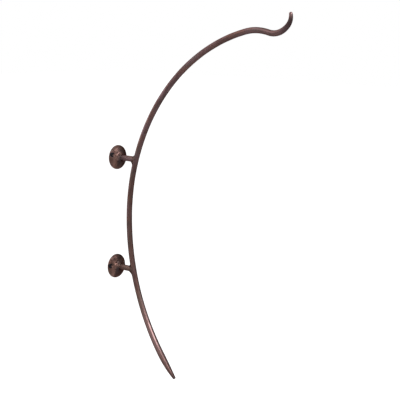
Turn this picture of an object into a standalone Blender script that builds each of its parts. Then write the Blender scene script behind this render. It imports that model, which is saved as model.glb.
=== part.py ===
# Hanging basket bracket: one long bow of round bar, carried off the wall by two posts on domed backplates.
# Metres and radians, +Z up, +X away from the wall, the bow in the plane Y = 0.
# The origin is the centre of the upper backplate's back, which lies on the wall.

import math

import bmesh
import bpy
import numpy as np
from mathutils import Matrix

# The bar and the line that its centre follows, from the tail up to the tip of the hook
BAR_DIAMETER = 0.012
WALL_TO_BOW = 0.038  # from the wall to the bar's centre, where the bow comes nearest
UPPER_POST_TO_APEX = 0.1175  # from the upper post down to where the bow comes nearest
LOWER_ARC_RADIUS = 0.455
LOWER_ARC_LENGTH = 0.365
UPPER_ARC_RADIUS = 0.400
CREST_RADIUS = 0.120
CREST_SLOPE = math.radians(14.0)  # the bar climbs into the crest, and leaves it, at this slope
CRADLE_RADIUS = 0.045
CRADLE_EXIT_SLOPE = math.radians(50.0)
LIP_RADIUS = 0.025
LIP_LENGTH = 0.0255

# The forged ends of the bar, each drawn down from round stock
TAIL_TAPER_LENGTH = 0.130
TAIL_SQUARE_LENGTH = 0.200  # over which the tail turns from round to square
TAIL_END_SIZE = 0.0049
TAIL_EDGE_RADIUS = 0.0008
TAIL_SQUARENESS = 4.5  # exponent of the section's outline: 2 is a circle, and more is squarer
TIP_TAPER_LENGTH = 0.070
TIP_END_SIZE = 0.0062
TIP_EDGE_RADIUS = 0.0024
TIP_SQUARENESS = 2.4
DRAW_DOWN_POWER = 2.1  # how much more of a taper lies near its end
SQUARING_POWER = 1.5  # the same for the squaring

# The posts and the round backplates
POST_DIAMETER = 0.012
POST_PITCH = 0.233
BACKPLATE_DIAMETER = 0.051
BACKPLATE_RIM = 0.0012  # height of the straight edge
BACKPLATE_CROWN = 0.0090  # rise of the dome's apex above that edge
BACKPLATE_EDGE_RADIUS = 0.0012
BACKPLATE_BACK_CHAMFER = 0.0005
SCREW_HOLE_DIAMETER = 0.0042
COUNTERSINK_DIAMETER = 0.0104
COUNTERSINK_DEPTH = 0.0020  # from the dome down to the straight bore, on the hole's axis
HOLE_PLACE_SHARE = 0.60  # of the way from the post's seat out to the plate's edge
UPPER_HOLE_TURN = math.radians(19.0)  # how far the near hole stands above level, round the post
LOWER_HOLE_TURN = math.radians(7.0)

# The welds
WELD_GAP = 0.0003  # left between a weld and the pieces that it joins
ROOT_WELD_LEG = 0.0060  # along the post, and out over the plate
SIDE_WELD_LEG = 0.0026  # along the post, at the sides of the joint with the bow
SIDE_WELD_CROWN = 0.0008  # how far the bead stands proud there
SIDE_WELD_WRAP = math.radians(26.0)  # how far round the bar the bead goes past its widest line
SIDE_WELD_ROUNDING_SHARE = 0.35  # of the bar's radius, by which the bead rounds the cope's sharp corner
UPPER_WELD_LEG_ABOVE = 0.0040
UPPER_WELD_LEG_BELOW = 0.0075
LOWER_WELD_LEG_ABOVE = 0.0050
LOWER_WELD_LEG_BELOW = 0.0080
WELD_EDGE = 0.00025  # thickness of every weld where it runs out
WELD_HOLLOW_SHARE = 0.30  # how far the fillet's curve is drawn out of its corner, above and below
SIDE_WELD_HOLLOW_SHARE = 0.50  # the same at the sides, where this makes it straight

# How finely the surfaces are cut
BAR_SIDES = 24
BAR_STEP = 0.0110  # along the bow
END_STEP = 0.0050  # along the tapers and the tight bends
ROUND_SIDES = 40
WELD_SIDES = 36
WELD_EDGE_SAMPLES = 200  # places on the weld's edge from which each section finds its own
CURVE_STEPS = 6
SMOOTH_ANGLE = math.radians(35)  # edges sharper than this are shaded as edges
MERGE_DISTANCE = 0.00001

OVERRUN = 0.004  # how far a cutter reaches past what it cuts

bar_radius = BAR_DIAMETER / 2
post_radius = POST_DIAMETER / 2
plate_radius = BACKPLATE_DIAMETER / 2
root_weld_radius = post_radius + WELD_GAP + ROOT_WELD_LEG
seat_radius = root_weld_radius + WELD_GAP
apex_height = -UPPER_POST_TO_APEX


# Materials and collections

def make_collection(name):
    collection = bpy.data.collections.new(name)
    bpy.context.scene.collection.children.link(collection)
    return collection


def make_material(name, colour, roughness):
    """A dark bronze patina on steel."""
    material = bpy.data.materials.new(name)
    material.use_nodes = True
    shader = material.node_tree.nodes["Principled BSDF"]
    shader.inputs["Base Color"].default_value = (*colour, 1)
    shader.inputs["Roughness"].default_value = roughness
    shader.inputs["Metallic"].default_value = 0.75
    material.diffuse_color = (*colour, 1)
    return material


def finish_object(name, mesh, collection, parent=None, material=None):
    """Put a mesh into the scene as a named piece, shaded smooth apart from its real edges."""
    mesh.name = name
    piece = bpy.data.objects.new(name, mesh)
    collection.objects.link(piece)
    piece.parent = parent
    if material:
        mesh.materials.append(material)
    mesh.shade_smooth()
    mesh.set_sharp_from_angle(angle=SMOOTH_ANGLE)
    return piece


def as_cutter(piece):
    piece.hide_render = True
    piece.display_type = "WIRE"
    return piece


def settle(piece):
    """Make what the modifiers give the piece's own mesh, and shade it smooth apart from its real edges."""
    bpy.context.view_layer.update()
    graph = bpy.context.evaluated_depsgraph_get()
    mesh = bpy.data.meshes.new_from_object(piece.evaluated_get(graph))
    piece.modifiers.clear()
    piece.data = mesh
    mesh.name = piece.name
    mesh.shade_smooth()
    mesh.set_sharp_from_angle(angle=SMOOTH_ANGLE)


def cut(piece, cutters, name):
    for cutter in cutters:
        modifier = piece.modifiers.new(name, "BOOLEAN")
        modifier.operation = "DIFFERENCE"
        modifier.solver = "EXACT"
        modifier.object = cutter
    settle(piece)


# The bow's centreline: five tangent arcs in the plane Y = 0, from the tail to the tip

def bow_arcs():
    """Each arc's radius, and its heading at start and end, measured from +X towards +Z."""
    upright = math.pi / 2
    tail_heading = upright + LOWER_ARC_LENGTH / LOWER_ARC_RADIUS
    tip_heading = CRADLE_EXIT_SLOPE + LIP_LENGTH / LIP_RADIUS
    return [
        (LOWER_ARC_RADIUS, tail_heading, upright),
        (UPPER_ARC_RADIUS, upright, CREST_SLOPE),
        (CREST_RADIUS, CREST_SLOPE, -CREST_SLOPE),
        (CRADLE_RADIUS, -CREST_SLOPE, CRADLE_EXIT_SLOPE),
        (LIP_RADIUS, CRADLE_EXIT_SLOPE, tip_heading),
    ]


def bow_length():
    return sum(radius * abs(end - start) for radius, start, end in bow_arcs())


def left_of(heading):
    """Unit vector (x, z) square to a heading, a quarter turn to its left."""
    return np.array([-math.sin(heading), math.cos(heading)])


def bow_point(distance):
    """The centreline's point (x, z) and heading at a distance along the bar from the tail's end."""
    arcs = bow_arcs()
    radius, heading, _ = arcs[0]
    point = np.array([WALL_TO_BOW + radius, apex_height]) + radius * left_of(heading)
    for radius, start, end in arcs:
        turn = math.copysign(1, end - start)
        swept = min(distance / radius, abs(end - start))
        heading = start + turn * swept
        point = point + turn * radius * (left_of(start) - left_of(heading))
        distance -= radius * swept
        if swept < abs(end - start):
            break
    return point, heading


def drawn_size(from_end, length, end_size):
    """Width of the bar near a forged end: it eases from the end's size up to the full bar."""
    left = max(0.0, 1 - from_end / length)
    return end_size + (BAR_DIAMETER - end_size) * (1 - left**DRAW_DOWN_POWER)


def squareness(from_end, length, end_exponent):
    """Exponent of the section's outline, from the end's own back to 2, which is round."""
    left = max(0.0, 1 - from_end / length)
    return 2 + (end_exponent - 2) * left**SQUARING_POWER


def edge_rounding(radius):
    """Rings that round an end over: (distance from the end, how far the section is drawn in)."""
    angles = np.linspace(math.pi / 2, 0, CURVE_STEPS)
    return [(radius * (1 - math.sin(a)), radius * (1 - math.cos(a))) for a in angles]


def bar_stations():
    """Distances along the bar, with how far each section is drawn in for a rounded end."""
    total = bow_length()
    crest_start = LOWER_ARC_LENGTH + UPPER_ARC_RADIUS * (math.pi / 2 - CREST_SLOPE)
    stretches = [
        (TAIL_EDGE_RADIUS, TAIL_TAPER_LENGTH, END_STEP),
        (TAIL_TAPER_LENGTH, crest_start, BAR_STEP),
        (crest_start, total - TIP_EDGE_RADIUS, END_STEP),
    ]
    stations = edge_rounding(TAIL_EDGE_RADIUS)
    for start, end, step in stretches:
        count = math.ceil((end - start) / step)
        stations += [(place, 0.0) for place in np.linspace(start, end, count + 1)[1:]]
    tip = [(total - from_end, inset) for from_end, inset in edge_rounding(TIP_EDGE_RADIUS)]
    return stations + tip[-2::-1]


def section(distance, inset, total):
    """One cross-section of the bar: an outline |u|^n + |v|^n = 1, from round to nearly square."""
    tail_share = drawn_size(distance, TAIL_TAPER_LENGTH, TAIL_END_SIZE) / BAR_DIAMETER
    tip_share = drawn_size(total - distance, TIP_TAPER_LENGTH, TIP_END_SIZE) / BAR_DIAMETER
    half = bar_radius * tail_share * tip_share - inset
    power = squareness(distance, TAIL_SQUARE_LENGTH, TAIL_SQUARENESS)
    power += squareness(total - distance, TIP_TAPER_LENGTH, TIP_SQUARENESS) - 2
    angles = np.arange(BAR_SIDES) * 2 * math.pi / BAR_SIDES
    across = np.abs(np.cos(angles))
    aside = np.abs(np.sin(angles))
    radii = half * (across**power + aside**power) ** (-1 / power)
    return radii * np.cos(angles), radii * np.sin(angles)


def loft_rings(rings, capped=True):
    """A closed mesh through rings of equal counts, with a flat cap at each end or joined end to start."""
    built = bmesh.new()
    verts = [[built.verts.new(p) for p in ring] for ring in rings]
    pairs = list(zip(verts, verts[1:]))
    if not capped:
        pairs.append((verts[-1], verts[0]))
    for lower, upper in pairs:
        for i in range(len(lower)):
            j = (i + 1) % len(lower)
            built.faces.new((lower[i], lower[j], upper[j], upper[i]))
    if capped:
        built.faces.new(verts[0])
        built.faces.new(verts[-1])
    bmesh.ops.recalc_face_normals(built, faces=built.faces)
    mesh = bpy.data.meshes.new("loft")
    built.to_mesh(mesh)
    built.free()
    return mesh


def place_ring(distance, outward, aside):
    """Set a section square across the bar: outward is away from the middle of the bow."""
    point, heading = bow_point(distance)
    x, z = point[:, None] + np.outer(left_of(heading), outward)
    return np.column_stack([x, aside, z])


def bow_mesh(clearance):
    """The whole bar, grown on every side by a clearance."""
    total = bow_length()
    rings = []
    for distance, inset in bar_stations():
        outward, aside = section(distance, inset - clearance, total)
        rings.append(place_ring(distance, outward, aside))
    return loft_rings(rings)


# The backplate: a turned dome with a flat seat for the post, and two countersunk screw holes

def dome_radius():
    """Radius of the sphere that meets the plate's rounded edge and rises to the crown."""
    edge = BACKPLATE_EDGE_RADIUS
    reach = plate_radius - edge
    return (reach**2 + BACKPLATE_CROWN**2 - edge**2) / (2 * (BACKPLATE_CROWN - edge))


def dome_height(from_axis):
    """Height of the dome's surface above the wall at a distance from the plate's axis."""
    radius = dome_radius()
    return BACKPLATE_RIM + BACKPLATE_CROWN - radius + math.sqrt(radius**2 - from_axis**2)


def seat_height():
    return dome_height(seat_radius)


def turned(name, profile, collection, parent):
    """Turn a profile of (radius, height) points, from the top down its outer side, about the local Z axis."""
    mesh = bpy.data.meshes.new(name)
    edges = [(i, i + 1) for i in range(len(profile) - 1)]
    mesh.from_pydata([(r, 0, h) for r, h in profile], edges, [])
    piece = bpy.data.objects.new(name, mesh)
    collection.objects.link(piece)
    piece.parent = parent
    piece.rotation_euler = (0, math.pi / 2, 0)
    screw = piece.modifiers.new("Turn", "SCREW")
    screw.axis = "Z"
    screw.angle = 2 * math.pi
    screw.steps = ROUND_SIDES
    screw.render_steps = ROUND_SIDES
    screw.use_merge_vertices = True
    screw.merge_threshold = MERGE_DISTANCE
    settle(piece)
    return piece


def backplate_profile():
    edge = BACKPLATE_EDGE_RADIUS
    radius = dome_radius()
    edge_angle = math.asin((plate_radius - edge) / (radius - edge))
    seat_angle = math.asin(seat_radius / radius)
    sphere_centre = BACKPLATE_RIM + BACKPLATE_CROWN - radius
    profile = [(0, seat_height())]
    for angle in np.linspace(seat_angle, edge_angle, 2 * CURVE_STEPS):
        profile.append((radius * math.sin(angle), sphere_centre + radius * math.cos(angle)))
    for angle in np.linspace(edge_angle, math.pi / 2, CURVE_STEPS)[1:]:
        out = plate_radius - edge + edge * math.sin(angle)
        profile.append((out, BACKPLATE_RIM + edge * math.cos(angle)))
    profile.append((plate_radius, BACKPLATE_BACK_CHAMFER))
    profile.append((plate_radius - BACKPLATE_BACK_CHAMFER, 0))
    profile.append((0, 0))
    return profile


def hole_distance():
    return seat_radius + HOLE_PLACE_SHARE * (plate_radius - seat_radius)


def countersink_profile():
    """A straight bore, a cone of 90 degrees, and the way in through the dome's higher side."""
    bore = SCREW_HOLE_DIAMETER / 2
    head = COUNTERSINK_DIAMETER / 2
    bore_height = dome_height(hole_distance()) - COUNTERSINK_DEPTH
    top = BACKPLATE_RIM + BACKPLATE_CROWN + OVERRUN
    return [
        (0, top),
        (head, top),
        (head, bore_height + head - bore),
        (bore, bore_height),
        (bore, -OVERRUN),
        (0, -OVERRUN),
    ]


def make_backplate(name, station, turn, material, parts, cutters):
    plate = turned(name, backplate_profile(), parts, station)
    plate.data.materials.append(material)
    holes = []
    for side, word in ((-1, "near"), (1, "far")):
        hole = as_cutter(turned(f"{name}_{word}_hole", countersink_profile(), cutters, station))
        out = side * hole_distance()
        hole.location = (0, out * math.cos(turn), -out * math.sin(turn))
        holes.append(hole)
    cut(plate, holes, "Screw hole")


# The posts and their welds

def bow_surface_x(height, turn=0.0):
    """X on the bar's surface, with the weld gap round it, at a height. Turn goes round the bar from the wall side."""
    arc_radius = np.where(height > apex_height, UPPER_ARC_RADIUS, LOWER_ARC_RADIUS)
    from_centre = arc_radius + (bar_radius + WELD_GAP) * np.cos(turn)
    return WALL_TO_BOW + arc_radius - np.sqrt(from_centre**2 - (height - apex_height) ** 2)


def make_post(name, station, material, parts, cutter):
    """A length of bar from the plate's seat, coped to fit the bow."""
    start = seat_height() + WELD_GAP
    end = float(bow_surface_x(station.location.z)) + bar_radius
    built = bmesh.new()
    along_x = Matrix.Translation(((start + end) / 2, 0, 0)) @ Matrix.Rotation(math.pi / 2, 4, "Y")
    bmesh.ops.create_cone(
        built,
        cap_ends=True,
        segments=ROUND_SIDES,
        radius1=post_radius,
        radius2=post_radius,
        depth=end - start,
        matrix=along_x,
    )
    mesh = bpy.data.meshes.new(name)
    built.to_mesh(mesh)
    built.free()
    post = finish_object(name, mesh, parts, station, material)
    cut(post, [cutter], "Cope")


def make_root_weld(name, station, material, parts):
    """The weld collar round the post's foot: a hollow fillet, turned about the post."""
    inner = post_radius + WELD_GAP
    base = seat_height() + WELD_GAP
    leg = ROOT_WELD_LEG
    profile = [(inner, base + leg)]
    for angle in np.linspace(0, math.pi / 2, CURVE_STEPS):
        out = inner + WELD_EDGE + (leg - WELD_EDGE) * (1 - math.cos(angle))
        up = base + leg - (leg - WELD_EDGE) * math.sin(angle)
        profile.append((out, up))
    profile.append((inner + leg, base))
    profile.append((inner, base))
    profile.append((inner, base + leg))
    weld = turned(name, profile, parts, station)
    weld.data.materials.append(material)


def weld_edge_turn(round_post, out_leg):
    """How far round the bar the weld's edge lies, at an angle round the post.

    Laid flat on the bar's surface the edge is an ellipse: the weld's reach along the bar by its wrap round it.
    """
    turns = np.linspace(0, math.pi / 2 + SIDE_WELD_WRAP, WELD_EDGE_SAMPLES)
    along = (post_radius + WELD_GAP + out_leg) * np.sqrt(1 - (turns / turns[-1]) ** 2)
    angles = np.arctan2((bar_radius + WELD_GAP) * np.sin(turns), along)
    from_top = math.asin(abs(math.sin(round_post)))
    return float(np.interp(from_top, angles, turns))


def weld_outline(round_post, height, leg_above, leg_below):
    """A section of the weld through the post's axis, as (x, distance from the axis), at an angle round the post.

    It runs in along the bar to the corner, back along the post, and out again over a quadratic curve.
    """
    inner = post_radius + WELD_GAP
    outer = bar_radius + WELD_GAP
    up = math.cos(round_post)
    aside = abs(math.sin(round_post))
    leg = leg_above if up > 0 else leg_below

    corner_turn = math.asin(min(1.0, aside * inner / outer))
    edge_turn = weld_edge_turn(round_post, leg)
    turns = np.linspace(edge_turn, corner_turn, CURVE_STEPS)
    out = outer * np.sin(turns) / aside
    out[-1] = inner
    along_bar = np.column_stack([bow_surface_x(height + out * up, turns), out])

    corner = along_bar[-1]
    rounding = bar_radius * (math.hypot(up, SIDE_WELD_ROUNDING_SHARE) - abs(up))
    post_leg = rounding + SIDE_WELD_LEG + (leg - SIDE_WELD_LEG) * up**2
    on_post = corner - np.array([post_leg, 0])
    lift = WELD_EDGE * np.array([-math.cos(edge_turn), math.sin(edge_turn)])
    on_bar = along_bar[0] + lift
    hollow = WELD_HOLLOW_SHARE * up**2 + SIDE_WELD_HOLLOW_SHARE * aside**2
    pull = corner + hollow * ((on_post - corner) + (on_bar - corner))
    # a quadratic curve's middle moves half as far as its pull
    pull[1] += 2 * (WELD_EDGE + SIDE_WELD_CROWN) * aside**4
    edge = on_post + np.array([0, WELD_EDGE])
    t = np.linspace(0, 1, CURVE_STEPS)[:, None]
    curve = (1 - t) ** 2 * edge + 2 * t * (1 - t) * pull + t**2 * on_bar
    return np.concatenate([along_bar, [on_post], curve])


def make_bow_weld(name, station, leg_above, leg_below, material, parts):
    """The weld round a coped post: hollow fillets above and below, and a low bead across each side."""
    rings = []
    for angle in (np.arange(WELD_SIDES) + 0.5) * 2 * math.pi / WELD_SIDES:
        outline = weld_outline(angle, station.location.z, leg_above, leg_below)
        x, out = outline.T
        rings.append(np.column_stack([x, out * math.sin(angle), out * math.cos(angle)]))
    finish_object(name, loft_rings(rings, capped=False), parts, station, material)


def main():
    for old in list(bpy.data.objects):
        bpy.data.objects.remove(old)
    parts = make_collection("hanging_basket_bracket")
    cutters = make_collection("cutters")

    bow_finish = (0.105, 0.070, 0.065)
    plate_finish = (0.085, 0.050, 0.042)
    weld_finish = (0.095, 0.062, 0.055)

    bow_material = make_material("bow_bar_patina", bow_finish, 0.42)
    finish_object("bow_bar", bow_mesh(0.0), parts, None, bow_material)
    clearance = as_cutter(finish_object("bow_clearance", bow_mesh(WELD_GAP), cutters))

    sides = [
        ("upper", 0.0, UPPER_HOLE_TURN, UPPER_WELD_LEG_ABOVE, UPPER_WELD_LEG_BELOW),
        ("lower", -POST_PITCH, LOWER_HOLE_TURN, LOWER_WELD_LEG_ABOVE, LOWER_WELD_LEG_BELOW),
    ]
    for side, height, hole_turn, leg_above, leg_below in sides:
        station = bpy.data.objects.new(f"{side}_fixing", None)
        parts.objects.link(station)
        station.location = (0, 0, height)
        plate_material = make_material(f"{side}_backplate_patina", plate_finish, 0.38)
        post_material = make_material(f"{side}_post_patina", bow_finish, 0.45)
        weld_material = make_material(f"{side}_weld_patina", weld_finish, 0.55)
        make_backplate(f"{side}_backplate", station, hole_turn, plate_material, parts, cutters)
        make_post(f"{side}_post", station, post_material, parts, clearance)
        make_root_weld(f"{side}_plate_weld", station, weld_material, parts)
        make_bow_weld(f"{side}_bow_weld", station, leg_above, leg_below, weld_material, parts)


main()
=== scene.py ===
import math

import bpy
import numpy as np
from mathutils import Matrix, Vector


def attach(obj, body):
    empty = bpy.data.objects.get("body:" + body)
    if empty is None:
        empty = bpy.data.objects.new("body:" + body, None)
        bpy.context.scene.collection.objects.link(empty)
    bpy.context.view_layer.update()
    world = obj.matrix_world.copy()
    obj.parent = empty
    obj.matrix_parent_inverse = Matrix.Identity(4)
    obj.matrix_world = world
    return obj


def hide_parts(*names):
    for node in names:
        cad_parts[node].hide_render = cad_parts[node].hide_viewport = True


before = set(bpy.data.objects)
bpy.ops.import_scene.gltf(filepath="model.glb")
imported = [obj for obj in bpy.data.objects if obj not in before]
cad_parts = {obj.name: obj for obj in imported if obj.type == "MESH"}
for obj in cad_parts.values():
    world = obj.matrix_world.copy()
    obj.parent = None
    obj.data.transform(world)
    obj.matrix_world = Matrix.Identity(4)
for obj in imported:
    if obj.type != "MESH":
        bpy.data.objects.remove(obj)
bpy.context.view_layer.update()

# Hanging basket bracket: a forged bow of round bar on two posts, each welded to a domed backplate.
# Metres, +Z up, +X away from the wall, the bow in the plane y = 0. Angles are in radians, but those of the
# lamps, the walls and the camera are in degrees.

root = "root"                    # the bracket has no joints, so it is one body
quarterTurn = math.pi / 2
fullTurn = 2 * math.pi


# Curves and noise

def ramp(value, span):           # rises straight from 0 at zero to 1 at the span
    return np.clip(value / span, 0, 1)


def bell(value, width):          # 1 at zero: e to the power of minus the square of the value over the width
    return np.exp(-((value / width) ** 2))


def smoothStep(share):           # 3 times the square less 2 times the cube
    return share * share * (3 - 2 * share)


def ringAngles(sides):           # even steps of a full turn, as one row
    return np.arange(sides)[None] * fullTurn / sides


# A curve at shares t of its way from start to end, drawn towards pull: start times the square of 1 - t, plus
# pull times 2t(1 - t), plus end times the square of t.
def pulledCurve(start, pull, end, t):
    return (1 - t) ** 2 * start + 2 * t * (1 - t) * pull + t**2 * end


# Random heights at the crossings of a net, joined by smooth steps, from -1 to 1. Down the net it has as many
# rows as it needs, and round it the last column joins the first, so that a pattern closes round a bar.
def netNoise(seed, down, angle, columns):
    across = angle / fullTurn * columns
    heights = np.random.default_rng(seed).uniform(-1, 1, (int(down.max()) + 2, columns))
    i = np.floor(down).astype(int)
    j = np.floor(across).astype(int)
    u = smoothStep(down - i)
    v = smoothStep(across - j)
    j = j % columns
    k = (j + 1) % columns
    near = heights[i, j] * (1 - v) + heights[i, k] * v
    far = heights[i + 1, j] * (1 - v) + heights[i + 1, k] * v
    return near * (1 - u) + far * u


# Meshes

# Points round an axis along +X through y and z: at x, at a distance from the axis and an angle from +Z to +Y.
def roundAxis(x, distance, angle, y, z):
    grids = np.broadcast_arrays(x, y + distance * np.sin(angle), z + distance * np.cos(angle))
    return np.stack(grids, axis=-1)


# A net of quads through a grid of points (rows of rings). Each ring closes on itself. The rows either close
# too, like a tyre, or each end is drawn together at a pole, the mean of its ring.
def surfaceMesh(name, points, tyre=False):
    rows, columns = points.shape[:2]
    index = np.arange(rows * columns).reshape(rows, columns)
    this = index if tyre else index[:-1]
    following = np.roll(index, -1, axis=0) if tyre else index[1:]
    around = (this, np.roll(this, -1, axis=1), np.roll(following, -1, axis=1), following)
    quads = np.stack(around, axis=-1).reshape(-1, 4)
    verts = points.reshape(-1, 3)
    corners = quads.ravel()
    sizes = np.full(len(quads), 4)
    if not tyre:
        poles = np.stack([points[0].mean(0), points[-1].mean(0)])
        first = np.full(columns, rows * columns)
        start = np.stack([first, np.roll(index[0], -1), index[0]], axis=-1)
        end = np.stack([first + 1, index[-1], np.roll(index[-1], -1)], axis=-1)
        verts = np.concatenate([verts, poles])
        corners = np.concatenate([corners, start.ravel(), end.ravel()])
        sizes = np.concatenate([sizes, np.full(2 * columns, 3)])
    a, b, c, d = (verts[quads[:, n]] for n in range(4))
    volume = np.einsum("ij,ij->i", a, np.cross(b, c)) + np.einsum("ij,ij->i", a, np.cross(c, d))
    starts = np.cumsum(sizes) - sizes
    mesh = bpy.data.meshes.new(name)
    mesh.vertices.add(len(verts))
    mesh.vertices.foreach_set("co", verts.astype(np.float32).ravel())
    mesh.loops.add(len(corners))
    mesh.loops.foreach_set("vertex_index", corners.astype(np.int32))
    mesh.polygons.add(len(sizes))
    mesh.polygons.foreach_set("loop_start", starts.astype(np.int32))
    mesh.update(calc_edges=True)
    if volume.sum() < 0:         # the quads' share of the enclosed volume says which way they face
        mesh.flip_normals()
    mesh.shade_smooth()
    return mesh


# A number or a vector for each vertex, in the vertices' order.
def setAttribute(mesh, name, values):
    vectors = values.ndim == 2
    attribute = mesh.attributes.new(name, "FLOAT_VECTOR" if vectors else "FLOAT", "POINT")
    attribute.data.foreach_set("vector" if vectors else "value", values.astype(np.float32).ravel())


# The same from a grid of values; a pole takes the mean of its ring.
def gridAttribute(mesh, name, values, tyre=False):
    flat = values.reshape(-1, *values.shape[2:])
    if not tyre:
        flat = np.concatenate([flat, values[0].mean(0)[None], values[-1].mean(0)[None]])
    setAttribute(mesh, name, flat)


def addObject(name, data):
    made = bpy.data.objects.new(name, data)
    bpy.context.scene.collection.objects.link(made)
    return made


# A finished piece with its material, on its body and in place of the frame's nodes. Its slot is not used.
def placePiece(name, mesh, material, slot, *nodes):
    piece = addObject(name, mesh)
    mesh.materials.append(material)
    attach(piece, root)
    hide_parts(*nodes)
    return piece


# Finishes

# A colour as a screen shows it, 0 to 255, made linear for the shader by the screen's standard curve.
def screenColour(red, green, blue):
    share = np.array([red, green, blue]) / 255
    linear = np.where(share <= 0.04045, share / 12.92, ((share + 0.055) / 1.055) ** 2.4)
    return (*linear.tolist(), 1.0)


# A node with its settings, and with constants on its sockets by their names or numbers.
def addNode(tree, kind, inputs=None, **settings):
    made = tree.nodes.new(kind)
    for key, value in settings.items():
        setattr(made, key, value)
    for socket, value in (inputs or {}).items():
        made.inputs[socket].default_value = value
    return made


def attributeValue(tree, name):
    return addNode(tree, "ShaderNodeAttribute", attribute_name=name).outputs["Fac"]


# Noise of which the stretch between two limits becomes another range, on coordinates that may be drawn out
# along the first axis.
def noiseBand(tree, coords, scale, detail, limits, become, stretch=1.0, twist=0.0):
    drawn = addNode(tree, "ShaderNodeMapping", {"Scale": (1 / stretch, 1, 1)})
    noise = addNode(tree, "ShaderNodeTexNoise", {"Scale": scale, "Detail": detail, "Distortion": twist})
    band = addNode(tree, "ShaderNodeMapRange", {
        "From Min": limits[0], "From Max": limits[1], "To Min": become[0], "To Max": become[1]})
    tree.links.new(coords, drawn.inputs["Vector"])
    tree.links.new(drawn.outputs["Vector"], noise.inputs["Vector"])
    tree.links.new(noise.outputs["Fac"], band.inputs["Value"])
    return band.outputs["Result"]


# Two colours mixed by a share. Each of the three is a constant or what another node gives.
def mixColour(tree, share, first, second, blend="MIX"):
    mix = addNode(tree, "ShaderNodeMix", data_type="RGBA", blend_type=blend)
    for socket, value in (("Factor", share), ("A", first), ("B", second)):
        if isinstance(value, bpy.types.NodeSocket):
            tree.links.new(value, mix.inputs[socket])
        else:
            mix.inputs[socket].default_value = value
    return mix.outputs["Result"]


# The patina's colour: a warm and a cold brown in slow clouds, which the attribute "cool" leans to the cold
# one, then stains of other browns, the mottles, which darken and lighten it, and fine dark pits. Over these
# it turns pale as the attribute "wearAndHighlight" says, partly wear and partly painted highlight, and dark
# as
# "shadeAndDarkening" says, mostly painted shade.
def patinaColour(tree, coords, mottle, look):
    stretch = look["stretch"]
    swing = look["cloudSwing"]
    clouds = noiseBand(
        tree, coords, look["cloudScale"], look["cloudDetail"], look["cloudLimits"], (-swing, swing), stretch)
    cold = addNode(tree, "ShaderNodeMath", operation="ADD", use_clamp=True)
    tree.links.new(attributeValue(tree, "cool"), cold.inputs[0])
    tree.links.new(clouds, cold.inputs[1])
    colour = mixColour(
        tree, cold.outputs["Value"], screenColour(*look["warm"]), screenColour(*look["cold"]))
    for scale, low, most, stain in look["stains"]:
        patch = noiseBand(
            tree, coords, scale, look["stainDetail"], (low, low + look["stainSoft"]), (0, most), stretch,
            look["stainTwist"])
        colour = mixColour(tree, patch, colour, screenColour(*stain))
    shade = addNode(tree, "ShaderNodeCombineColor")
    for channel in ("Red", "Green", "Blue"):
        tree.links.new(mottle, shade.inputs[channel])
    colour = mixColour(tree, 1.0, colour, shade.outputs["Color"], "MULTIPLY")
    pits = noiseBand(
        tree, coords, look["pitScale"], look["pitDetail"], look["pitLimits"], (look["pitShare"], 0))
    colour = mixColour(tree, pits, colour, screenColour(*look["pitColour"]))
    for attribute in ("wearAndHighlight", "shadeAndDarkening"):
        colour = mixColour(tree, attributeValue(tree, attribute), colour, screenColour(*look[attribute]))
    return colour


# The patina's roughness: noise between two levels, and on the bar less where the attribute "drawn" says that
# the smith has drawn it down and smoothed it.
def patinaRoughness(tree, coords, look):
    scale = look["mottleScale"] * look["roughScaleShare"]
    rough = noiseBand(
        tree, coords, scale, look["roughDetail"], look["mottleLimits"], look["roughness"], look["stretch"])
    if not look["follows"]:
        return rough
    less = addNode(tree, "ShaderNodeMapRange", {"To Min": 1.0, "To Max": look["drawnSmooth"]})
    product = addNode(tree, "ShaderNodeMath", operation="MULTIPLY")
    tree.links.new(attributeValue(tree, "drawn"), less.inputs["Value"])
    tree.links.new(less.outputs["Result"], product.inputs[0])
    tree.links.new(rough, product.inputs[1])
    return product.outputs["Value"]


# Bronze patina over steel. Its patterns lie on the piece's own attribute "pattern", which runs straight where
# the bar bends, or else on the object's coordinates. Fine grain and the broader mottles raise its surface.
def patina(name, look):
    material = bpy.data.materials.new(name)
    material.use_nodes = True
    tree = material.node_tree
    shader = tree.nodes["Principled BSDF"]
    shader.inputs["Metallic"].default_value = look["metallic"]
    shader.inputs["Specular IOR Level"].default_value = look["specular"]
    shader.inputs["Specular Tint"].default_value = (*look["edge"], 1)
    if look["follows"]:
        coords = addNode(tree, "ShaderNodeAttribute", attribute_name="pattern").outputs["Vector"]
    else:
        coords = addNode(tree, "ShaderNodeTexCoord").outputs["Object"]
    mottle = noiseBand(
        tree, coords, look["mottleScale"], look["mottleDetail"], look["mottleLimits"], look["mottle"],
        look["stretch"], look["mottleTwist"])
    tree.links.new(patinaColour(tree, coords, mottle, look), shader.inputs["Base Color"])
    tree.links.new(patinaRoughness(tree, coords, look), shader.inputs["Roughness"])

    grain = noiseBand(tree, coords, look["grainScale"], look["grainDetail"], (0, 1), (0, 1))
    fine = addNode(tree, "ShaderNodeBump", {"Strength": look["grain"], "Distance": look["grainDepth"]})
    tree.links.new(grain, fine.inputs["Height"])
    broad = addNode(tree, "ShaderNodeBump", {"Strength": look["forged"], "Distance": look["forgedDepth"]})
    tree.links.new(mottle, broad.inputs["Height"])
    tree.links.new(fine.outputs["Normal"], broad.inputs["Normal"])
    tree.links.new(broad.outputs["Normal"], shader.inputs["Normal"])
    return material


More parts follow.
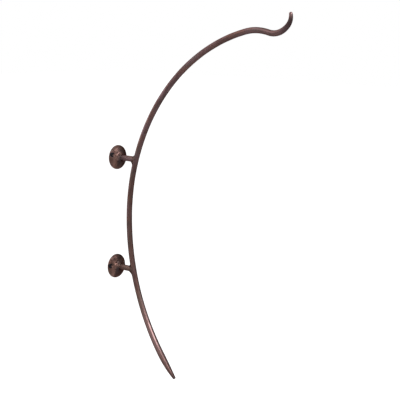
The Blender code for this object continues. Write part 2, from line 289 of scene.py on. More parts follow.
barLook = dict(
    # wearAndHighlight: pale colour of worn drawn ends and of a painted highlight streak; shadeAndDarkening:
    # painted shade behind the tip and the darkened tail end
    warm=(104, 79, 74), cold=(111, 88, 90), wearAndHighlight=(166, 137, 136), shadeAndDarkening=(60, 51, 54),
    metallic=0.95, specular=0.2, edge=(0.40, 0.33, 0.32), follows=True, stretch=3.0,
    cloudScale=45, cloudDetail=3, cloudLimits=(0.38, 0.62), cloudSwing=0.5,
    stains=[                             # scale, the noise where it starts, its most, its colour
        (83, 0.57, 0.5, (112, 80, 70)), (97, 0.58, 0.4, (88, 82, 76)), (71, 0.56, 0.5, (84, 64, 62))],
    stainDetail=2, stainSoft=0.06, stainTwist=0.5,
    mottleScale=300, mottleDetail=5, mottleLimits=(0.3, 0.7), mottleTwist=0.3, mottle=(0.84, 1.14),
    pitScale=900, pitDetail=2, pitLimits=(0.30, 0.42), pitShare=0.3, pitColour=(50, 40, 38),
    roughness=(0.30, 0.44), roughScaleShare=0.6, roughDetail=4, drawnSmooth=0.5,
    grainScale=2600, grainDetail=4, grain=0.25, grainDepth=0.00006, forged=0.3, forgedDepth=0.00008,
)
plateLook = dict(
    # on the plates wearAndHighlight is the colour of a painted highlight, and shadeAndDarkening that of
    # painted shade
    barLook, warm=(110, 82, 73), cold=(112, 88, 84), wearAndHighlight=(205, 160, 147), shadeAndDarkening=(44, 42, 45),
    follows=False, stretch=1.0, cloudScale=60, mottleScale=240, mottle=(0.90, 1.10), roughness=(0.27, 0.38),
    stains=[(83, 0.57, 0.5, (96, 62, 55)), (97, 0.58, 0.5, (74, 68, 60)), (71, 0.56, 0.5, (70, 50, 48))],
    forged=0.08,
)
collarLook = dict(plateLook, warm=(122, 94, 87), cold=(126, 100, 96), roughness=(0.15, 0.22), grain=0.1)
saddleLook = dict(
    barLook, warm=(94, 75, 70), cold=(84, 72, 70), follows=False, stretch=1.0,
    mottleScale=420, mottle=(0.74, 1.15), roughness=(0.34, 0.50), forged=0.5, forgedDepth=0.00012,
)
barPatina = patina("barPatina", barLook)
platePatina = patina("platePatina", plateLook)
collarPatina = patina("collarPatina", collarLook)
weldPatina = patina("weldPatina", saddleLook)
print("finishes made")


# The bow: round bar drawn down square at the tail and round at the tip

bow = dict(
    barDiameter=0.012, wallToBow=0.038, postPitch=0.233, postToApex=0.1175,
    lowerRadius=0.455, lowerLength=0.365, upperRadius=0.400,
    crestRadius=0.120, crestSlope=math.radians(14), cradleRadius=0.045, cradleSlope=math.radians(50),
    lipRadius=0.025, lipLength=0.0255,
    tailTaper=0.060, tailSquare=0.200, tailSize=0.0049, tailEdge=0.0008, tailSquareness=4.5,
    tipTaper=0.070, tipSize=0.0062, tipEdge=0.0024, tipSquareness=2.4,
    tailDrawDown=1.85, tipDrawDown=2.1, squaring=1.5,
    hair=0.00006, hammerDepth=0.00009, hammerLength=0.011, hammersRound=7,
    waveDepth=0.00012, waveLength=0.034, wavesRound=3,
    tailBurnish=0.115, tailFade=0.110, tipBurnish=0.004, tipFade=0.006,
    # the streak is a painted highlight along one edge of the drawn ends, over their faint wear; the lip gets
    # painted shade, and the tail's very end is darkened
    streakTurn=math.radians(198), streakWidth=math.radians(20), streakHighlight=0.68, faceWear=0.20, evenWear=0.86,
    darkTailEnd=0.020, darkFade=0.050, tailDarkening=0.6,
    brightLip=0.010, brightFade=0.004, shadeBehindTip=0.052, lipFade=0.020, lipShade=0.5,
    coolFrom=0.42, coolOver=0.16, warmTip=0.14, tipCool=0.5,
    rings=1240, sides=72, edgeRings=10, capRings=8, seed=11,
)
barRadius = bow["barDiameter"] / 2
apexHeight = -bow["postToApex"]          # where the bow comes nearest to the wall
bowArcs = [                              # radius, then heading at start and end, from +X towards +Z
    (bow["lowerRadius"], quarterTurn + bow["lowerLength"] / bow["lowerRadius"], quarterTurn),
    (bow["upperRadius"], quarterTurn, bow["crestSlope"]),
    (bow["crestRadius"], bow["crestSlope"], -bow["crestSlope"]),
    (bow["cradleRadius"], -bow["crestSlope"], bow["cradleSlope"]),
    (bow["lipRadius"], bow["cradleSlope"], bow["cradleSlope"] + bow["lipLength"] / bow["lipRadius"]),
]
bowLength = sum(radius * abs(end - start) for radius, start, end in bowArcs)


def leftOf(heading):                     # unit vector (x, z), a quarter turn to the left of a heading
    return np.stack([-np.sin(heading), np.cos(heading)], axis=-1)


# The centre line at distances from the tail. Each arc turns the heading by the stretch run on it over its
# radius. It moves the point by the radius times the vector to the left of the heading before, less the one
# after, or the other way round where the arc bends to the right.
def bowLine(distance):
    radius, start = bowArcs[0][:2]
    heading = np.full(distance.shape, start)
    point = np.array([bow["wallToBow"] + radius, apexHeight]) + radius * leftOf(heading)
    passed = 0.0
    for radius, start, end in bowArcs:
        way = math.copysign(1, end - start)
        turned = way * np.clip((distance - passed) / radius, 0, abs(end - start))
        point += way * radius * (leftOf(np.full_like(turned, start)) - leftOf(start + turned))
        heading += turned
        passed += radius * abs(end - start)
    return point, heading


# What is left of a taper at a distance from its end: 1 at the end, 0 where the bar is full again.
def taperLeft(fromEnd, length):
    return np.clip(1 - fromEnd / length, 0, 1)


# Distances along the bar, how far the section is drawn in for a rounded end, and how much of it is filled:
# a flat end grows from its pole, the edge turns a quarter circle, and then the bar runs on evenly.
def bowStations():
    turn = np.linspace(0, quarterTurn, bow["edgeRings"])
    fill = np.linspace(0, 1, bow["capRings"] + 1)[1:-1]

    def roundedEnd(radius):
        place = np.concatenate([np.zeros_like(fill), radius * (1 - np.cos(turn))])
        inset = np.concatenate([np.full_like(fill, radius), radius * (1 - np.sin(turn))])
        return place, inset, np.concatenate([fill, np.ones_like(turn)])

    tailPlace, tailInset, tailFill = roundedEnd(bow["tailEdge"])
    tipPlace, tipInset, tipFill = roundedEnd(bow["tipEdge"])
    body = np.linspace(bow["tailEdge"], bowLength - bow["tipEdge"], bow["rings"])[1:-1]
    place = np.concatenate([tailPlace, body, bowLength - tipPlace[::-1]])
    inset = np.concatenate([tailInset, np.zeros_like(body), tipInset[::-1]])
    filled = np.concatenate([tailFill, np.ones_like(body), tipFill[::-1]])
    return place[:, None], inset[:, None], filled[:, None]


# The bow's skin. A section is the outline |u|^n + |v|^n = 1, whose n goes from 2, round, up to the end's own.
# Its half width falls from the bar's radius to the end's by the power of the draw down. Two nets of noise
# then take the marks of the hammer and a slow waviness off the radius, never adding to it.
def buildBow():
    place, inset, filled = bowStations()
    angle = ringAngles(bow["sides"])
    tail = taperLeft(place, bow["tailTaper"])
    tip = taperLeft(bowLength - place, bow["tipTaper"])
    half = barRadius * (1 - (1 - bow["tailSize"] / bow["barDiameter"]) * tail ** bow["tailDrawDown"])
    half = half * (1 - (1 - bow["tipSize"] / bow["barDiameter"]) * tip ** bow["tipDrawDown"]) - inset
    square = taperLeft(place, bow["tailSquare"]) ** bow["squaring"]
    power = 2 + (bow["tailSquareness"] - 2) * square + (bow["tipSquareness"] - 2) * tip ** bow["squaring"]
    skin = half * (np.abs(np.cos(angle)) ** power + np.abs(np.sin(angle)) ** power) ** (-1 / power)

    hammer = netNoise(bow["seed"], place / bow["hammerLength"], angle, bow["hammersRound"])
    wave = netNoise(bow["seed"] + 1, place / bow["waveLength"], angle, bow["wavesRound"])
    marks = bow["hammerDepth"] * (1 - hammer) / 2 + bow["waveDepth"] * (1 - wave) / 2
    skin = filled * (skin - (marks + bow["hair"]) * half / barRadius)

    outward = skin * np.cos(angle)
    aside = skin * np.sin(angle)
    point, heading = bowLine(place[:, 0])
    left = leftOf(heading)
    x = point[:, 0:1] + left[:, 0:1] * outward
    z = point[:, 1:2] + left[:, 1:2] * outward
    mesh = surfaceMesh("bow", np.stack([x, aside, z], axis=-1))
    along = np.broadcast_to(place, skin.shape)
    gridAttribute(mesh, "pattern", np.stack([along, outward, aside], axis=-1))
    shadeBow(mesh, place, angle, hammer)
    return placePiece("bow", mesh, barPatina, "bow_patina", "bow_bar")


# How smooth, pale, dark and cold the bow is, from 0 to 1. Both ends are drawn smooth and worn a little paler
# on their faces. Along one edge of them a painted highlight streak, a bell round the bar, adds much more;
# both are less in the hammer's marks. The tail's very end is darkened, and painted shade lies behind the
# bright tip. The cold brown comes in over the arc, and part of it goes again towards the tip.
def shadeBow(mesh, place, angle, hammer):
    fromTip = bowLength - place
    drawn = np.maximum(
        taperLeft(place - bow["tailBurnish"], bow["tailFade"]),
        taperLeft(fromTip - bow["tipBurnish"], bow["tipFade"]))
    drawn = smoothStep(drawn)
    bright = ramp(place - bow["darkTailEnd"], bow["darkFade"]) * drawn
    # a painted highlight streak along one edge, over the faint wear of the faces
    streak = bell(angle - bow["streakTurn"], bow["streakWidth"])
    wearAndStreak = bow["faceWear"] + (bow["streakHighlight"] - bow["faceWear"]) * streak
    wearAndHighlight = bright * wearAndStreak * (bow["evenWear"] + (1 - bow["evenWear"]) * hammer)
    # painted shade behind the bright tip
    lip = ramp(fromTip - bow["brightLip"], bow["brightFade"])
    lip = lip * ramp(bow["shadeBehindTip"] - fromTip, bow["lipFade"])
    shadeAndDarkening = np.maximum(bow["lipShade"] * lip, bow["tailDarkening"] * taperLeft(place, bow["darkTailEnd"]))
    cool = ramp(place - bow["coolFrom"], bow["coolOver"])
    cool = cool * np.clip((fromTip - bow["warmTip"]) / bow["coolOver"], bow["tipCool"], 1)
    for name, values in (("drawn", drawn), ("wearAndHighlight", wearAndHighlight), ("shadeAndDarkening", shadeAndDarkening), ("cool", cool)):
        gridAttribute(mesh, name, np.broadcast_to(values, hammer.shape))


buildBow()
print("bow made,", round(bowLength * 1000), "mm of bar")


# The posts, from the plate's seat to the bow, coped to its round

post = dict(
    diameter=0.012, sides=96, rings=40, capRings=8, markDepth=0.00008, marksAlong=4, marksRound=6, seed=31)
postRadius = post["diameter"] / 2
stations = dict(upper=0.0, lower=-bow["postPitch"])
coolShare = dict(upper=0.7, lower=0.2)   # how far the patina on each side's pieces goes from warm to cold


# X on the bar's surface at a height, where turn goes round the bar from its wall side: the arc's centre, less
# the side of the right triangle whose long side is the arc's radius plus the bar's radius times the turn's
# cosine, and whose other side is the height from the apex. Outside is added to the bar's radius.
def bowSurface(height, turn, outside=0.0):
    arc = np.where(height > apexHeight, bow["upperRadius"], bow["lowerRadius"])
    reach = arc + (barRadius + outside) * np.cos(turn)
    return bow["wallToBow"] + arc - np.sqrt(reach**2 - (height - apexHeight) ** 2)


# A ring of points round the post's axis runs from the seat to the bow. Each end is filled by rings that
# shrink to the axis: flat at the seat, and on the bow's surface at the other end. A net of noise takes marks
# off the radius.
def buildPost(side):
    angle = ringAngles(post["sides"])
    fill = np.linspace(0, 1, post["capRings"] + 1)[1:-1][:, None]
    share = np.linspace(0, 1, post["rings"])[:, None]
    radius = np.concatenate([fill, np.ones_like(share), fill[::-1]]) * postRadius
    share = np.concatenate([np.zeros_like(fill), share, np.ones_like(fill)])
    marks = netNoise(post["seed"], share * post["marksAlong"], angle, post["marksRound"])
    radius = radius * (1 - post["markDepth"] / postRadius * (1 - marks) / 2)
    y = radius * np.sin(angle)
    z = stations[side] + radius * np.cos(angle)
    end = bowSurface(z, np.arcsin(np.clip(y / barRadius, -1, 1)))
    x = seatHeight + share * (end - seatHeight)
    points = np.stack([x, y, z], axis=-1)
    mesh = surfaceMesh(side + "Post", points)
    gridAttribute(mesh, "pattern", points)
    gridAttribute(mesh, "drawn", np.zeros_like(x))
    gridAttribute(mesh, "cool", np.full_like(x, coolShare[side]))
    return placePiece(side + "Post", mesh, barPatina, "post_patina", side + "_post")


# The domed backplates, with their countersunk screw holes

plate = dict(
    diameter=0.051, rim=0.0012, crown=0.0090, edge=0.0012, backChamfer=0.0005, seatRadius=0.0126,
    holeDiameter=0.0030, sinkDiameter=0.0104, sinkDepth=0.0020, sinkSoft=0.0004, holePlaceShare=0.60,
    overrun=0.004, sides=192, domeRings=44, edgeRings=10, rimRings=5, flatRings=12, holeSides=64,
    sharpAngle=math.radians(32),
    dentDepth=0.00007, dentsRound=14, dentRows=4, dentFade=0.003, spinDepth=0.00002, spinTurn=60, seed=51,
)
plateRadius = plate["diameter"] / 2
edgeCentre = plateRadius - plate["edge"]         # from the axis to the centre of the edge's quarter round
holeTurns = dict(upper=math.radians(19), lower=math.radians(7))
holeDistance = plate["seatRadius"] + plate["holePlaceShare"] * (plateRadius - plate["seatRadius"])
# the sphere that peaks at the crown and runs smoothly into the quarter round of the edge
domeRadius = edgeCentre**2 + plate["crown"] ** 2 - plate["edge"] ** 2
domeRadius /= 2 * (plate["crown"] - plate["edge"])
domeCentre = plate["rim"] + plate["crown"] - domeRadius


# A sphere: the height of its centre plus the root of its radius squared less the distance squared.
def domeHeight(fromAxis):
    return domeCentre + np.sqrt(domeRadius**2 - fromAxis**2)


seatHeight = float(domeHeight(plate["seatRadius"]))


# The plate's outline, from the middle of its seat to the middle of its back, for turning about its axis: the
# flat seat, the sphere of the dome, a quarter round at the edge, the rim, its chamfer and the flat back.
def plateOutline():
    edgeAngle = math.asin(edgeCentre / (domeRadius - plate["edge"]))
    seat = np.linspace(0, plate["seatRadius"], plate["flatRings"])[1:]
    dome = np.linspace(math.asin(plate["seatRadius"] / domeRadius), edgeAngle, plate["domeRings"])[1:]
    bend = np.linspace(edgeAngle, quarterTurn, plate["edgeRings"])[1:]
    rim = np.linspace(plate["rim"], plate["backChamfer"], plate["rimRings"])[1:]
    back = np.linspace(plateRadius - plate["backChamfer"], 0, 2 * plate["flatRings"])[:-1]
    radius = np.concatenate([
        seat, domeRadius * np.sin(dome), edgeCentre + plate["edge"] * np.sin(bend),
        np.full_like(rim, plateRadius), back])
    height = np.concatenate([
        np.full_like(seat, seatHeight), domeCentre + domeRadius * np.cos(dome),
        plate["rim"] + plate["edge"] * np.cos(bend), rim, np.zeros_like(back)])
    return radius[:, None], height[:, None]


# The outline turned round, with its holes cut. Dents, a net of noise, and faint rings from the spinning, a
# cosine of the distance from the axis, press the dome inwards only. They fade at the seat and over the rim.
def buildPlate(side):
    radius, height = plateOutline()
    angle = ringAngles(plate["sides"])
    front = ramp(radius - plate["seatRadius"], plate["dentFade"])
    front = front * ramp(height - plate["rim"] / 2, plate["rim"])
    seed = plate["seed"] + (side == "upper")
    dents = netNoise(seed, radius / plateRadius * plate["dentRows"], angle, plate["dentsRound"])
    rings = np.cos(radius / plateRadius * plate["spinTurn"])
    pressed = plate["dentDepth"] * (1 - dents) / 2 + plate["spinDepth"] * (1 - rings) / 2
    points = roundAxis(height - front * pressed, radius, angle, 0.0, stations[side])
    blank = addObject(side + "Blank", surfaceMesh(side + "Blank", points))
    mesh = boredMesh(blank, [holeCutter(side, way) for way in (-1, 1)])
    mesh.name = side + "Plate"
    shadePlate(side, mesh)
    return placePiece(side + "Plate", mesh, platePatina, "backplate_patina", side + "_backplate")


# What is left of a blank once its holes are cut; the blank and the cutters are removed.
def boredMesh(blank, cutters):
    for cutter in cutters:
        cut = blank.modifiers.new("screwHole", "BOOLEAN")
        cut.operation = "DIFFERENCE"
        cut.solver = "EXACT"
        cut.object = cutter
    bpy.context.view_layer.update()
    mesh = bpy.data.meshes.new_from_object(blank.evaluated_get(bpy.context.evaluated_depsgraph_get()))
    for old in [blank, *cutters]:
        bpy.data.meshes.remove(old.data)
    mesh.materials.clear()
    mesh.shade_smooth()
    mesh.set_sharp_from_angle(angle=plate["sharpAngle"])
    return mesh


def holeCentre(side, way):               # y and z of a screw hole's axis, on a line turned from level
    out = way * holeDistance
    return out * math.cos(holeTurns[side]), stations[side] - out * math.sin(holeTurns[side])


# What a countersunk hole takes away, turned about its axis: the bore, a cone of 90 degrees, and the way in.
# The bore is narrower than the solid's, so that it looks dark as in the photograph.
def holeCutter(side, way):
    bore = plate["holeDiameter"] / 2
    sink = plate["sinkDiameter"] / 2
    start = float(domeHeight(holeDistance)) - plate["sinkDepth"]
    end = plate["rim"] + plate["crown"] + plate["overrun"]
    corners = np.array([(bore, -plate["overrun"]), (bore, start), (sink, start + sink - bore), (sink, end)])
    radius, height = corners.T[:, :, None]
    points = roundAxis(height, radius, ringAngles(plate["holeSides"]), *holeCentre(side, way))
    return addObject("hole", surfaceMesh("hole", points))


# Painted highlight and painted shade on the plates and their collars: y and z from a plate's centre, and
# shares of the patina

paintedMarks = dict(
    soft=0.004, band=-0.0135, bandWidth=0.0042, bandTop=0.006, bandHighlight=dict(upper=0.36, lower=0.29),
    spot=dict(upper=(-0.0125, 0.0068), lower=(-0.0106, 0.0072)), spotWidth=0.0026,
    spotHeight=dict(upper=0.0028, lower=0.0050), spotHighlight=dict(upper=0.62, lower=0.80),
    shadeFrom=dict(upper=-0.0095, lower=-0.0115), shadeTop=dict(upper=0.0065, lower=0.0015),
    shadeShare=dict(plate=0.62, collar=0.80), rimWidth=0.010,
    crownFrom=0.012, crownShade=dict(upper=0.15, lower=0.38),
    shadeRing=dict(upper=0.0148, lower=0.0105), shadeRingWidth=dict(upper=0.0022, lower=0.0045),
    shadeRingFrom=dict(upper=-0.011, lower=-0.0075), shadeRingShare=dict(upper=0.38, lower=0.50),
)


# The painted highlight and painted shade of a plate and its collar, at y and z from the plate's centre. The
# painted highlight is a spot beside the post and a band that runs down from it, both of them bells. Painted
# shade lies below the post beyond the band, at the plate's top, and in a ring above the post, which is a bell
# too.
def paintedHighlightAndShade(side, kind, y, z):
    soft = paintedMarks["soft"]
    # painted highlight: a band down the plate and a spot beside the post
    band = bell(y - paintedMarks["band"], paintedMarks["bandWidth"]) * ramp(paintedMarks["bandTop"] - z, soft)
    spotY, spotZ = paintedMarks["spot"][side]
    spot = bell(y - spotY, paintedMarks["spotWidth"]) * bell(z - spotZ, paintedMarks["spotHeight"][side])
    wearAndHighlight = np.maximum(paintedMarks["bandHighlight"][side] * band, paintedMarks["spotHighlight"][side] * spot)
    fromAxis = np.hypot(y, z)
    # painted shade: below the post, at the top and in a ring above the post
    shadeBelow = ramp(y - paintedMarks["shadeFrom"][side], soft) * ramp(paintedMarks["shadeTop"][side] - z, soft)
    shadeBelow = shadeBelow * ramp(plateRadius - fromAxis, paintedMarks["rimWidth"])
    top = ramp(z - paintedMarks["crownFrom"], soft)
    ringShade = bell(fromAxis - paintedMarks["shadeRing"][side], paintedMarks["shadeRingWidth"][side])
    ringShade = ringShade * ramp(z, soft) * ramp(y - paintedMarks["shadeRingFrom"][side], soft)
    shadeAndDarkening = np.maximum(paintedMarks["shadeShare"][kind] * shadeBelow, paintedMarks["crownShade"][side] * top)
    return wearAndHighlight, np.maximum(shadeAndDarkening, paintedMarks["shadeRingShare"][side] * ringShade)


# The plate's painted highlight and painted shade. Inside a screw hole the painted shade is full all through:
# 1 within the countersink's width, falling to 0 at its lip.
def shadePlate(side, mesh):
    points = np.empty(3 * len(mesh.vertices), np.float32)
    mesh.vertices.foreach_get("co", points)
    _, y, z = points.reshape(-1, 3).T
    wearAndHighlight, shadeAndDarkening = paintedHighlightAndShade(side, "plate", y, z - stations[side])
    for way in (-1, 1):
        holeY, holeZ = holeCentre(side, way)
        away = np.hypot(y - holeY, z - holeZ)
        shadeAndDarkening = np.maximum(shadeAndDarkening, ramp(plate["sinkDiameter"] / 2 - away, plate["sinkSoft"]))
    cool = np.full_like(y, coolShare[side])
    for name, values in (("wearAndHighlight", wearAndHighlight), ("shadeAndDarkening", shadeAndDarkening), ("cool", cool)):
        setAttribute(mesh, name, values)


# The welds: a collar round each post's foot, and a saddle where it meets the bow

collar = dict(
    climb=0.0082, skirt=0.0005, sunk=0.00006, root=0.0004, sides=160, rings=30,
    lumps=17, lumpDepth=0.00004, roughDepth=0.00006, roughRows=4, roughRound=26, seed=71,
    bead=0.0008, beadTurn=math.radians(-64), beadWidth=math.radians(12), beadPlace=0.82, beadSpan=0.13,
)
saddle = dict(
    legs=dict(upper=(0.0040, 0.0075), lower=(0.0050, 0.0080)), sideLeg=0.0026, sideCrown=0.0008,
    sideWrap=math.radians(26), sideRounding=0.35, hollow=0.30, sideHollow=0.50, sunk=0.00012,
    sides=160, barRings=14, curveRings=30, wrapSteps=400, ripples=20, rippleDepth=0.00016, rippleBend=math.pi,
    roughDepth=0.00018, roughRows=5, roughRound=30, seed=86,
)


# The collar flares from the post into the dome. Its curve leaves the post along the post, and meets the dome
# at the dome's own slope, a hair below its surface. Ripples run round it, a net of noise makes them uneven,
# and both fade at its two edges by the square of a sine. On one side stands a bead of weld metal, a bell both
# ways, which fades by the sine itself. The ring closes through the seat and the post.
def buildCollar(side):
    t = np.linspace(0, 1, collar["rings"])[:, None]
    angle = ringAngles(collar["sides"])
    edge = plate["seatRadius"] + collar["skirt"]
    edgeHeight = float(domeHeight(edge)) - collar["sunk"]
    slope = edge / math.sqrt(domeRadius**2 - edge**2)
    start = np.array([postRadius, edgeHeight + collar["climb"]])
    pull = np.array([postRadius, edgeHeight + slope * (edge - postRadius)])
    end = np.array([edge, edgeHeight])
    curve = pulledCurve(start, pull, end, t)
    along = 2 * (1 - t) * (pull - start) + 2 * t * (end - pull)
    along /= np.linalg.norm(along, axis=1, keepdims=True)

    ripple = collar["lumpDepth"] * (0.5 + 0.5 * np.cos(collar["lumps"] * angle + fullTurn * t))
    rough = netNoise(collar["seed"], t * collar["roughRows"], angle, collar["roughRound"])
    fromBead = np.angle(np.exp(1j * (angle - collar["beadTurn"])))       # between minus and plus half a turn
    bead = bell(fromBead, collar["beadWidth"]) * bell(t - collar["beadPlace"], collar["beadSpan"])
    fade = np.sin(math.pi * t)
    proud = fade**2 * (ripple + collar["roughDepth"] * rough) + fade * collar["bead"] * bead
    out = curve[:, 0:1] - proud * along[:, 1:2]
    up = curve[:, 1:2] + proud * along[:, 0:1]
    inner = postRadius - collar["root"]
    base = seatHeight - collar["root"]
    closing = np.array([(edge, edgeHeight - collar["root"]), (inner, base), (inner, start[1])])
    out = np.concatenate([out, np.broadcast_to(closing[:, 0:1], (3, collar["sides"]))])
    up = np.concatenate([up, np.broadcast_to(closing[:, 1:2], (3, collar["sides"]))])

    points = roundAxis(up, out, angle, 0.0, stations[side])
    mesh = surfaceMesh(side + "Collar", points, tyre=True)
    # the same painted highlight and painted shade as on the plate
    wearAndHighlight, shadeAndDarkening = paintedHighlightAndShade(side, "collar", points[..., 1], points[..., 2] - stations[side])
    cool = np.full(out.shape, coolShare[side])
    for name, values in (("wearAndHighlight", wearAndHighlight), ("shadeAndDarkening", shadeAndDarkening), ("cool", cool)):
        gridAttribute(mesh, name, values, tyre=True)
    return placePiece(side + "Collar", mesh, collarPatina, "weld_patina", side + "_plate_weld")


# The turn round the bar at which the saddle's edge lies, for each angle round the post. Laid flat, the edge
# is an ellipse: the post's radius and the leg along the bar, by the wrap round it. For turns in small steps
# that gives the place along the bar, and so the angle seen from the post's axis, which is read backwards.
def saddleEdge(leg, across, reaches):
    wrap = quarterTurn + saddle["sideWrap"]
    steps = np.linspace(0, wrap, saddle["wrapSteps"])
    edgeTurn = np.zeros_like(across)
    for reach in reaches:
        along = (postRadius + reach) * np.sqrt(1 - (steps / wrap) ** 2)
        seen = np.interp(np.arcsin(across), np.arctan2(barRadius * np.sin(steps), along), steps)
        edgeTurn = np.where(leg == reach, seen, edgeTurn)
    return edgeTurn


# The saddle, at each angle round the post: in along the bar to the corner, back along the post, and out again
# over a pulled curve. Ripples that bend towards its edges and a net of noise move the curve away from the
# corner, by a sine that fades them at both edges.
def buildSaddle(side):
    angle = (np.arange(saddle["sides"]) + 0.5) * fullTurn / saddle["sides"]
    up = np.cos(angle)
    across = np.abs(np.sin(angle))
    legAbove, legBelow = saddle["legs"][side]
    leg = np.where(up > 0, legAbove, legBelow)
    edgeTurn = saddleEdge(leg, across, (legAbove, legBelow))
    skin = -saddle["sunk"]
    outer = barRadius + skin
    cornerTurn = np.arcsin(np.minimum(1, across * postRadius / outer))
    share = np.linspace(0, 1, saddle["barRings"])[:, None]
    turns = edgeTurn + share * (cornerTurn - edgeTurn)
    out = outer * np.sin(turns) / across
    out[-1] = postRadius + skin
    barX = bowSurface(stations[side] + out * up, turns, skin)

    rounding = barRadius * (np.hypot(up, saddle["sideRounding"]) - np.abs(up))
    postX = barX[-1] - (rounding + saddle["sideLeg"] + (leg - saddle["sideLeg"]) * up**2)
    edgeX = barX[0] + skin * np.cos(edgeTurn)
    edgeOut = out[0] - skin * np.sin(edgeTurn)
    hollow = saddle["hollow"] * up**2 + saddle["sideHollow"] * across**2
    pullX = barX[-1] + hollow * ((postX - barX[-1]) + (edgeX - barX[-1]))
    pullOut = out[-1] + hollow * (edgeOut - out[-1]) + 2 * saddle["sideCrown"] * across**4
    t = np.linspace(0, 1, saddle["curveRings"])[:, None]
    curveX = pulledCurve(postX, pullX, edgeX, t)
    curveOut = pulledCurve(postRadius - skin, pullOut, edgeOut, t)

    waves = np.cos(saddle["ripples"] * angle + saddle["rippleBend"] * (2 * t - 1) ** 2)
    rough = netNoise(saddle["seed"], t * saddle["roughRows"], angle, saddle["roughRound"])
    proud = saddle["rippleDepth"] * (0.5 + 0.5 * waves) + saddle["roughDepth"] * rough
    proud = np.sin(math.pi * t) * proud
    fromCorner = np.stack([curveX - barX[-1], curveOut - out[-1]], axis=-1)
    fromCorner /= np.linalg.norm(fromCorner, axis=-1, keepdims=True)
    curveX = curveX + proud * fromCorner[..., 0]
    curveOut = curveOut + proud * fromCorner[..., 1]

    x = np.concatenate([barX, curveX])
    out = np.concatenate([out, curveOut])
    mesh = surfaceMesh(side + "Saddle", roundAxis(x, out, angle, 0.0, stations[side]), tyre=True)
    gridAttribute(mesh, "cool", np.full(out.shape, coolShare[side]), tyre=True)
    return placePiece(side + "Saddle", mesh, weldPatina, "weld_patina", side + "_bow_weld")


for side in stations:
    buildPlate(side)
    buildPost(side)
    buildCollar(side)
    buildSaddle(side)
    print(side, "plate, post and welds made")


# Floor, light and camera

studio = dict(
    floorHeight=-0.80, floorSize=30.0, floorColour=0.80, floorRoughness=0.9, floorGlow=0.85, floorSheen=0.12,
    worldStrength=0.35, walls=0.85, aim=(0.15, 0.0, -0.05), distance=1.9,
    darkSide=dict(azimuth=80, elevation=-14, inner=36, outer=60, level=0.14),
    lamps=dict(                          # azimuth from +X towards +Y, elevation, width, height, watts
        key=(6, 36, 2.0, 0.36, 10.5), top=(-130, 52, 1.5, 1.4, 9), left=(-155, 6, 0.9, 0.8, 6),
        low=(-112, -20, 1.4, 0.6, 2.4), front=(-60, 22, 1.0, 0.8, 2.5), back=(160, 40, 1.2, 0.8, 3.0)),
)
photo = dict(                            # the lens and the angle of the photograph, in the 400 pixel square
    place=(1.88671, -1.84200, 0.30361), azimuth=-48.14, elevation=8.46, roll=1.25,
    focalPixels=1256.28, pixels=400, sensorWidth=36.0,
)


# The unit vector towards an azimuth, from +X towards +Y, and an elevation.
def direction(azimuth, elevation):
    turn, rise = math.radians(azimuth), math.radians(elevation)
    return Vector((math.cos(rise) * math.cos(turn), math.cos(rise) * math.sin(turn), math.sin(rise)))


# Strength of a backdrop as the camera's rays see it, and as those that a glossy or clear surface sends on do.
def seenDirectly(tree, camera, glossy):
    path = addNode(tree, "ShaderNodeLightPath")
    strength = None
    for ray, level in (("Camera", camera), ("Glossy", glossy), ("Transmission", glossy)):
        seen = addNode(tree, "ShaderNodeMath", operation="MULTIPLY")
        tree.links.new(path.outputs["Is " + ray + " Ray"], seen.inputs[0])
        if isinstance(level, bpy.types.NodeSocket):
            tree.links.new(level, seen.inputs[1])
        else:
            seen.inputs[1].default_value = level
        if strength:
            larger = addNode(tree, "ShaderNodeMath", operation="MAXIMUM")
            tree.links.new(strength, larger.inputs[0])
            tree.links.new(seen.outputs["Value"], larger.inputs[1])
            seen = larger
        strength = seen.outputs["Value"]
    return strength


# A pale floor that glows white to the camera and faintly to the metal, and keeps the bracket's shadow.
def buildFloor():
    half = studio["floorSize"] / 2
    corners = [(-half, -half), (half, -half), (half, half), (-half, half)]
    mesh = bpy.data.meshes.new("floor")
    mesh.from_pydata([(x, y, studio["floorHeight"]) for x, y in corners], [], [(0, 1, 2, 3)])
    material = bpy.data.materials.new("paleFloor")
    material.use_nodes = True
    tree = material.node_tree
    shader = tree.nodes["Principled BSDF"]
    grey = studio["floorColour"]
    shader.inputs["Base Color"].default_value = (grey, grey, grey, 1)
    shader.inputs["Roughness"].default_value = studio["floorRoughness"]
    shader.inputs["Specular IOR Level"].default_value = 0.0
    shader.inputs["Emission Color"].default_value = (1, 1, 1, 1)
    glow = seenDirectly(tree, studio["floorGlow"], studio["floorSheen"])
    tree.links.new(glow, shader.inputs["Emission Strength"])
    mesh.materials.append(material)
    floor = addObject("floor", mesh)


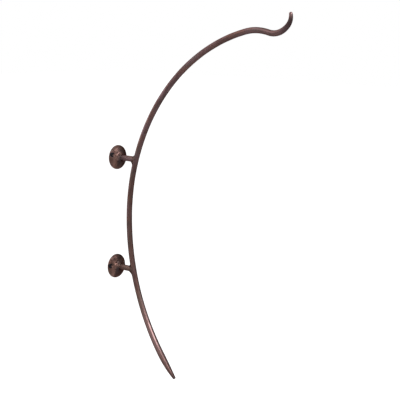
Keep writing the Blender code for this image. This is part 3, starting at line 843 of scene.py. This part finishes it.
# White to the camera. What a glossy surface sees are walls that dim by a smooth step towards a dark side, and
# the world is nowhere weaker than the soft light that falls on everything.
def buildWorld():
    world = bpy.data.worlds.new("studio")
    bpy.context.scene.world = world
    world.use_nodes = True
    tree = world.node_tree
    dark = studio["darkSide"]
    towards = direction(dark["azimuth"], dark["elevation"])
    near = addNode(tree, "ShaderNodeVectorMath", {1: towards}, operation="DOT_PRODUCT")
    walls = addNode(tree, "ShaderNodeMapRange", {
        "From Min": math.cos(math.radians(dark["outer"])),
        "From Max": math.cos(math.radians(dark["inner"])),
        "To Min": studio["walls"], "To Max": dark["level"]}, interpolation_type="SMOOTHSTEP")
    soft = addNode(tree, "ShaderNodeMath", {1: studio["worldStrength"]}, operation="MAXIMUM")
    tree.links.new(addNode(tree, "ShaderNodeTexCoord").outputs["Generated"], near.inputs[0])
    tree.links.new(near.outputs["Value"], walls.inputs["Value"])
    tree.links.new(seenDirectly(tree, 1.0, walls.outputs["Result"]), soft.inputs[0])
    tree.links.new(soft.outputs["Value"], tree.nodes["Background"].inputs["Strength"])
    tree.nodes["Background"].inputs["Color"].default_value = (1, 1, 1, 1)


# A rectangular lamp that faces the aim from the studio's distance, at an azimuth and an elevation from it.
def buildLamp(name, azimuth, elevation, width, height, power):
    lamp = bpy.data.lights.new(name, "AREA")
    lamp.shape = "RECTANGLE"
    lamp.size = width
    lamp.size_y = height
    lamp.energy = power
    towards = direction(azimuth, elevation)
    piece = addObject(name, lamp)
    piece.location = Vector(studio["aim"]) + studio["distance"] * towards
    piece.rotation_euler = towards.to_track_quat("Z", "Y").to_euler()


# The camera's axes: back towards its azimuth and elevation, and right level with the floor, a quarter turn
# further. Right and up are then rolled about the back.
def buildCamera():
    back = direction(photo["azimuth"], photo["elevation"])
    level = direction(photo["azimuth"] + 90, 0)
    upright = back.cross(level)
    roll = math.radians(photo["roll"])
    right = math.cos(roll) * level + math.sin(roll) * upright
    up = math.cos(roll) * upright - math.sin(roll) * level
    camera = bpy.data.cameras.new("camera")
    camera.sensor_width = photo["sensorWidth"]
    camera.lens = photo["focalPixels"] / photo["pixels"] * photo["sensorWidth"]
    piece = addObject("camera", camera)
    turn = Matrix((right, up, back)).transposed().to_4x4()
    piece.matrix_world = Matrix.Translation(photo["place"]) @ turn
    bpy.context.scene.camera = piece


buildFloor()
buildWorld()
for name, settings in studio["lamps"].items():
    buildLamp(name + "Lamp", *settings)
buildCamera()
bpy.context.scene.view_settings.view_transform = "Standard"
print("floor, lamps and camera set")
